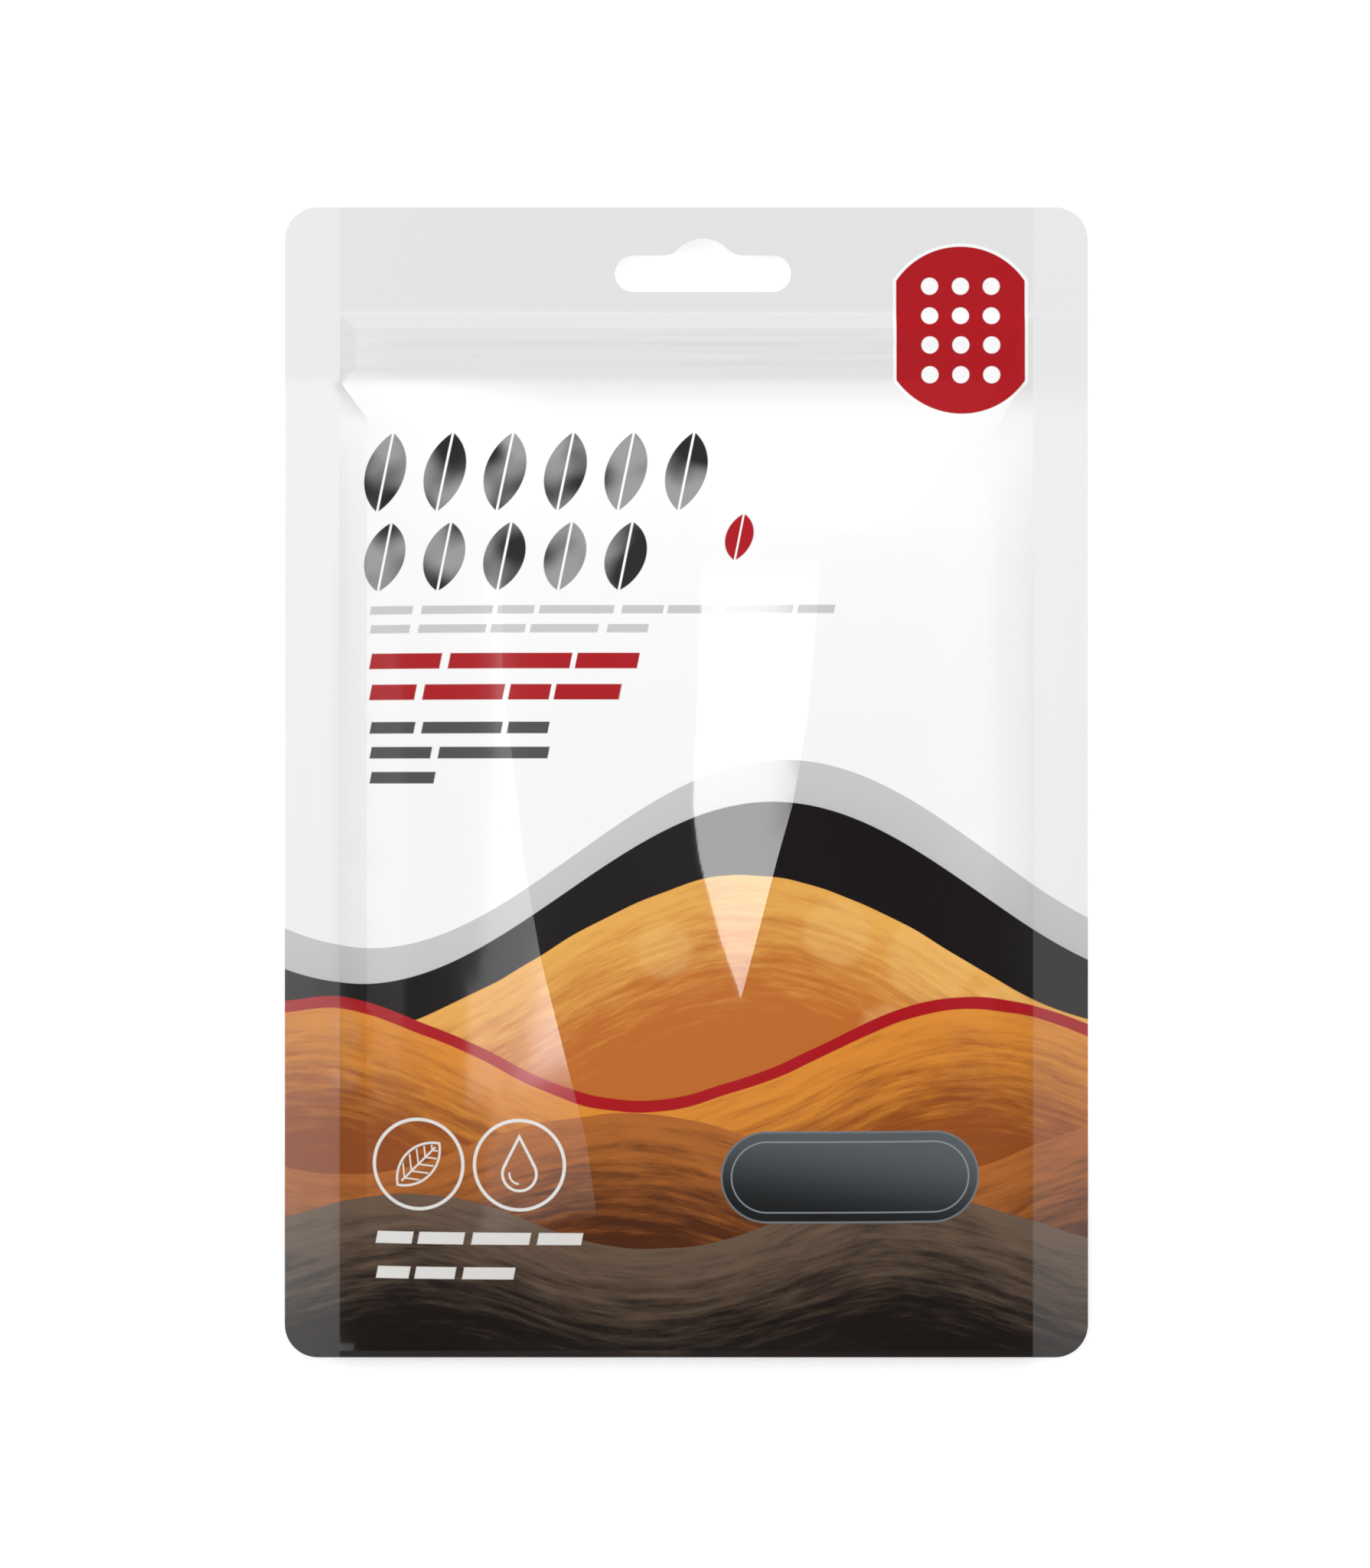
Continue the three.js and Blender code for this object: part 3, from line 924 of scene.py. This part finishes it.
def lay_picture(pattern, x, y):
    """Layers of ground behind each other, with grain that follows each crest."""
    tree = pattern.tree
    wander = (noise(tree, x / WANDER_SIZE, y / WANDER_SIZE, detail=2) - 0.5) * WANDER
    for number, (wave, light, dark) in enumerate(LAYERS):
        below = crest(x, wave) - y
        if number < FIRST_WARM_LAYER:
            pattern.lay(cover(below * -1), blend(tree, (below / COOL_DEPTH).step(0, 1), light, dark))
            continue
        below = below + wander
        place = (x / GRAIN_LENGTH, below / GRAIN_THICKNESS)
        grain = noise(tree, *place, GRAIN_DETAIL, GRAIN_ROUGHNESS, number * LAYER_SHIFT)
        depth = (below / WARM_DEPTH + (grain - 0.5) * GRAIN_SHARE).step(*WARM_STEP)
        if number == CRIMSON_LAYER:
            pattern.lay(cover(below * -1 - CRIMSON_WIDTH), RED)
        pattern.lay(cover(below * -1), blend(tree, depth, light, dark))
        rim = cover(abs(below - CREST_LINE) - CREST_LINE / 2) * grain.step(*CREST_GRAIN_STEP)
        pattern.lay(rim * CREST_LINE_SHARE, light)
        if number == FIRST_WARM_LAYER:
            lay_glow(pattern, x, y, cover(below * -1))


def lay_glow(pattern, x, y, share):
    """Soft round spots of light over the warm layers."""
    for at_x, at_y, radius in GLOW_SPOTS:
        spot = cover(disc(x, y, (at_x, at_y), radius), GLOW_EDGE)
        pattern.lay(spot * share * GLOW_SHARE, BACKLIGHT)


def lay_bars(pattern, x, y, rows):
    """Rows of slanted bars of uneven lengths."""
    for left, count, length, middle, thickness, colour in rows:
        along = (x - left - (y - middle) * SLANT) / length
        bars = along + (along * (BAR_WAVE + middle / BAR_WAVE_CHANGE)).sine() * BAR_UNEVENNESS
        between = abs(bars.wrap(0, 1) - 0.5) - (0.5 - BAR_GAP / length)
        ends = abs(bars - count / 2) - count / 2
        outline = (between.larger(ends) * length).larger(abs(y - middle) - thickness / 2)
        pattern.lay(cover(outline), colour)


def lay_leaf_rows(pattern, x, y):
    """Two rows of leaning leaves in greys, and one small red leaf."""
    tree = pattern.tree
    tone_x = x / LEAF_TONE_SIZE[0] + LEAF_TONE_SHIFT
    tone_y = y / LEAF_TONE_SIZE[1]
    for left, count, middle, (width, height) in LEAF_ROWS:
        up = y - middle
        leaning = x - up * SLANT - left
        local = leaning.wrap(-LEAF_PITCH / 2, LEAF_PITCH / 2)
        inside = cover(lens_shape(local, up, width, height))
        ends = (abs(leaning - LEAF_PITCH * (count - 1) / 2) - LEAF_PITCH * count / 2).step(0.1, -0.1)
        rib = abs(local).step(*LEAF_RIB)
        tone = noise(tree, tone_x, tone_y, detail=1).step(*LEAF_TONE_STEP)
        pattern.lay(inside * ends * rib, blend(tree, tone, LEAF_DARK, LEAF_LIGHT))
    at_x, at_y, width, height = SMALL_LEAF
    up = y - at_y
    across = x - up * SLANT - at_x
    pattern.lay(cover(lens_shape(across, up, width, height)) * abs(across).step(*SMALL_LEAF_RIB), RED)


def lay_badge(pattern, x, y):
    """A red badge with straight sides and round ends, holding three by four dots."""
    from_x = x - BADGE["centre"][0]
    from_y = y - BADGE["centre"][1]
    stretched = (abs(from_y) - BADGE["stretch"]).larger(0)
    round_ends = (from_x * from_x + stretched * stretched).math("SQRT") - BADGE["radius"]
    outline = round_ends.larger(abs(from_x) - BADGE["half_width"])
    pattern.lay(cover(outline - BADGE_RIM), WHITE)
    pattern.lay(cover(outline), RED)
    pitch_x, pitch_y = DOT_PITCH
    columns, rows = DOT_COUNT
    dot_x = from_x.wrap(-pitch_x / 2, pitch_x / 2)
    dot_y = (from_y - pitch_y / 2).wrap(-pitch_y / 2, pitch_y / 2)
    inside = (abs(from_x) - columns * pitch_x / 2).larger(abs(from_y) - rows * pitch_y / 2)
    pattern.lay(cover(disc(dot_x, dot_y, (0, 0), DOT_RADIUS)) * cover(inside), WHITE)


def drawn_leaf(x, y):
    """How far a point lies from the lines of a leaf that leans to the right."""
    turned = (x - y) * DIAGONAL
    raised = (x + y) * DIAGONAL
    leaf = lens_shape(turned, raised, *RING_LEAF_SIZE)
    midrib = abs(turned).larger(abs(raised) - RING_LEAF_RIB)
    slanted = (raised - abs(turned) * VEIN_SLANT).wrap(-VEIN_PITCH / 2, VEIN_PITCH / 2)
    side_veins = (abs(slanted) - FINE_LINE).larger(leaf + VEIN_INSET)
    return (abs(leaf) - LEAF_LINE).smaller(midrib - FINE_LINE).smaller(side_veins)


def drawn_drop(x, y):
    """How far a point lies from the lines of a drop with a glint in it."""
    across, up = DROP_SIDE
    cone = (abs(x) * across + (y - DROP_TIP) * up).larger((y - DROP_NECK) * -1)
    drop = cone.smaller(disc(x, y, DROP_CENTRE, DROP_RADIUS))
    glint = abs(disc(x, y, DROP_CENTRE, GLINT_RADIUS))
    glint = glint.larger(x - GLINT_CORNER[0]).larger(y - GLINT_CORNER[1])
    return (abs(drop + DROP_INSET) - DRAWN_LINE).smaller(glint - FINE_LINE)


def lay_rings(pattern, x, y):
    """Two rings that hold a leaf and a drop in outline."""
    for (at_x, at_y), drawn in zip(RINGS, (drawn_leaf, drawn_drop)):
        pattern.lay(cover(abs(disc(x, y, (at_x, at_y), RING_RADIUS)) - RING_LINE / 2), PALE_INK)
        pattern.lay(cover(drawn(x - at_x, y - at_y) - DRAWN_LINE), PALE_INK)


def lay_plate(pattern, x, y):
    """A plain dark plate with round ends."""
    (at_x, at_y), (half_width, half_height) = PLATE["centre"], PLATE["half_size"]
    across, up = PLATE_SHEEN
    shape = rounded_bar(x, y, (at_x, at_y), half_width, half_height, half_height)
    sheen = ((y - at_y) / half_height * up + (x - at_x) / half_width * across + 0.5).step(0, 1)
    pattern.lay(cover(shape - PLATE_EDGE), PLATE_RIM)
    pattern.lay(cover(shape), blend(pattern.tree, sheen, PLATE_LOW, PLATE_HIGH))
    pattern.lay(cover(abs(shape + PLATE_LINE_INSET) - DRAWN_LINE), PLATE_LINE)


def lay_header(pattern, x, y, in_seal):
    """The grey header, which fades out under the zip as painted shade, with painted shade in faint
    streaks over the zip and a painted highlight along the header seal's lower edge.
    """
    # Painted shade: the grey fades out under the zip, sooner on the left, where the film rises into the
    # pillow
    depth = (y * -1 + TOP - HEADER_FADE_START) * (x.step(*LEFT_FADE) * LEFT_FADE_GAIN + 1)
    pattern.lay(depth.step(*HEADER_FADE) * (in_seal * -SEAL_HEADER_LOSS + 1), HEADER_GREY_AND_SHADE)
    # Painted shade: faint grey streaks along the zip's jaws
    along, across = STREAK_SIZE
    shade_streaks = noise(pattern.tree, x / along, y / across, detail=2).step(*STREAK_STEP)
    in_zip = cover(abs(y - ZIP_Y) - STREAK_BAND, STREAK_BAND_EDGE)
    pattern.lay(shade_streaks * in_zip * (in_seal * -1 + 1) * STREAK_SHARE, ZIP_SHADE_GREY)
    # Painted highlight along the lower edge of the header seal
    seal_highlight = abs(y - HEADER_Y - SEAL_HIGHLIGHT_OFFSET).step(*SEAL_HIGHLIGHT_EDGE)
    pattern.lay(seal_highlight * (in_seal * -SEAL_HIGHLIGHT_LOSS + 1) * SEAL_HIGHLIGHT_SHARE, WHITE)


def seal_share(x):
    """1 in the side seals, 0 between them."""
    return (abs(x) - INNER_HALF).step(-SEAL_EDGE, SEAL_EDGE)


def film_material(name, lay_print):
    """Glossy laminate film over a print."""
    material = bpy.data.materials.new(name)
    material.use_nodes = True
    tree = material.node_tree
    shader = tree.nodes["Principled BSDF"]
    x, y, _ = surface_place(tree)
    in_seal = seal_share(x)
    pattern = Print(tree, WHITE)
    lay_print(pattern, x, y, in_seal)
    # Painted sheen: a thin grey over the seals stands in for the light they reflect
    pattern.lay(in_seal * SEAL_SHEEN_SHARE, SEAL_SHEEN_GREY)
    feed(tree, shader.inputs["Base Color"], pattern.colour)
    mottle = noise(tree, x / FILM_MOTTLE, y / FILM_MOTTLE, detail=4) * FILM_ROUGHNESS_SPREAD
    feed(tree, shader.inputs["Roughness"], mottle + in_seal * SEAL_ROUGHNESS + FILM_ROUGHNESS)
    shader.inputs["Specular IOR Level"].default_value = 0.12
    shader.inputs["Coat Weight"].default_value = 1.0
    shader.inputs["Coat Roughness"].default_value = 0.1
    shader.inputs["Coat IOR"].default_value = 1.45
    bump = tree.nodes.new("ShaderNodeBump")
    bump.inputs["Distance"].default_value = MM
    bump.inputs["Strength"].default_value = 1.0
    feed(tree, bump.inputs["Height"], film_relief(tree, x, y, in_seal))
    tree.links.new(bump.outputs[0], shader.inputs["Normal"])
    tree.links.new(bump.outputs[0], shader.inputs["Coat Normal"])
    return material


def slackness(tree, x, y, across, along, height):
    return noise(tree, x / across, y / along, detail=2) * height


def film_relief(tree, x, y, in_seal):
    """Fine slackness of the film in millimetres, and the ribs pressed into its seals."""
    slack = slackness(tree, x, y, *LONG_SLACK) + slackness(tree, x, y, *SHORT_SLACK)
    return slack + (y * (2 * math.pi / RIB_PITCH)).sine() * RIB_HEIGHT * in_seal


def front_print(pattern, x, y, in_seal):
    """The front: layers of ground, rows of leaves and bars, two rings, a plate and a badge."""
    lay_picture(pattern, x, y)
    lay_bars(pattern, x, y, BAR_ROWS)
    lay_leaf_rows(pattern, x, y)
    lay_rings(pattern, x, y)
    lay_plate(pattern, x, y)
    lay_header(pattern, x, y, in_seal)
    lay_badge(pattern, x, y)


def lay_paragraph(pattern, x, y, left, width, top, lines):
    """Lines of fine bars of uneven lengths, with ragged right ends."""
    height = lines * LINE_PITCH
    from_middle = (y - top).wrap(-LINE_PITCH, 0) + LINE_PITCH / 2
    line = y - from_middle
    words = (x - left) / WORD + line.sine() * WORD_SHIFT
    words = words + (words * WORD_WAVE).sine() * WORD_UNEVENNESS
    between = (abs(words.wrap(0, 1) - 0.5) - (0.5 - WORD_GAP / WORD)) * WORD
    right_end = x - left - width + (line * RAGGED_WAVE).sine() * RAGGED_END + RAGGED_END
    ends = right_end.larger(x * -1 + left).larger(abs(y - top + height / 2) - height / 2)
    outline = between.larger(ends).larger(abs(from_middle) - LINE_THICKNESS / 2)
    pattern.lay(cover(outline), DARK_LINE)


def back_print(pattern, x, y, in_seal):
    """A white back with a dark foot, fine bars and a ruled box, laid out as seen from behind."""
    seen_x = x * -1
    lay_header(pattern, seen_x, y, in_seal)
    for paragraph in PARAGRAPHS:
        lay_paragraph(pattern, seen_x, y, *paragraph)
    box = rounded_bar(seen_x, y, BACK_BOX["centre"], *BACK_BOX["half_size"], BACK_BOX["radius"])
    pattern.lay(cover(abs(box) - BACK_BOX_LINE / 2), DARK_LINE)
    wave = y + BACK_FOOT + (seen_x / BACK_WAVE_LENGTH).sine() * BACK_WAVE
    pattern.lay(cover(wave), CHARCOAL)
    pattern.lay(cover(abs(wave - BACK_STRIPE_OFFSET) - BACK_STRIPE / 2), RED)
    lay_bars(pattern, seen_x, y, BACK_BAR_ROWS)


def zip_material():
    """Milky polyethylene, faintly streaked along its length."""
    material = bpy.data.materials.new("zip")
    material.use_nodes = True
    tree = material.node_tree
    shader = tree.nodes["Principled BSDF"]
    x, y, z = surface_place(tree)
    streak = noise(tree, x / 40, y * 2 + z, detail=2)
    feed(tree, shader.inputs["Base Color"], blend(tree, streak, ink(228, 229, 228), ink(244, 245, 244)))
    feed(tree, shader.inputs["Roughness"], streak * 0.2 + 0.3)
    return material


def leaf_material():
    """A dried leaf: warm browns, mottled, with darker flecks."""
    material = bpy.data.materials.new("dried_leaf")
    material.use_nodes = True
    tree = material.node_tree
    shader = tree.nodes["Principled BSDF"]
    x, y, z = surface_place(tree)
    patches = noise(tree, x / 14, y / 14, detail=5, z=z)
    flecks = noise(tree, x / 1.2, y / 1.2, detail=3, z=z)
    browns = blend(tree, patches.step(0.35, 0.65), ink(126, 74, 36), ink(176, 112, 58))
    flecked = blend(tree, flecks.step(0.58, 0.68), browns, ink(82, 48, 28))
    feed(tree, shader.inputs["Base Color"], flecked)
    feed(tree, shader.inputs["Roughness"], flecks * 0.2 + 0.6)
    bump = tree.nodes.new("ShaderNodeBump")
    bump.inputs["Distance"].default_value = 0.2 * MM
    feed(tree, bump.inputs["Height"], flecks)
    tree.links.new(bump.outputs[0], shader.inputs["Normal"])
    return material


def dress_films():
    """Slack printed film in place of the two built webs."""
    films = (
        ("printed_front", front_inner, front_outer, "front_film", "front_print", front_print),
        ("printed_back", back_outer, back_inner, "back_film", "back_print", back_print),
    )
    for name, lower, upper, node, slot, lay_print in films:
        film = trimmed_film(name, lower, upper)
        film.data.materials.append(film_material(slot, lay_print))
        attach(film, "root")
        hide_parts(node)


def dress_node(name, material):
    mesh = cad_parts[name].data
    mesh.materials.clear()
    mesh.materials.append(material)


def dress_contents():
    """Finishes for the zip's strips and the leaves, which keep their built shapes."""
    strip_material = zip_material()
    blade_material = leaf_material()
    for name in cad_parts:
        if name.startswith("zip_"):
            dress_node(name, strip_material)
        elif name.startswith("leaf_"):
            dress_node(name, blade_material)


bpy.context.scene.view_settings.view_transform = "Standard"
make_camera()
make_world()
make_lights()
make_floor()
dress_films()
dress_contents()
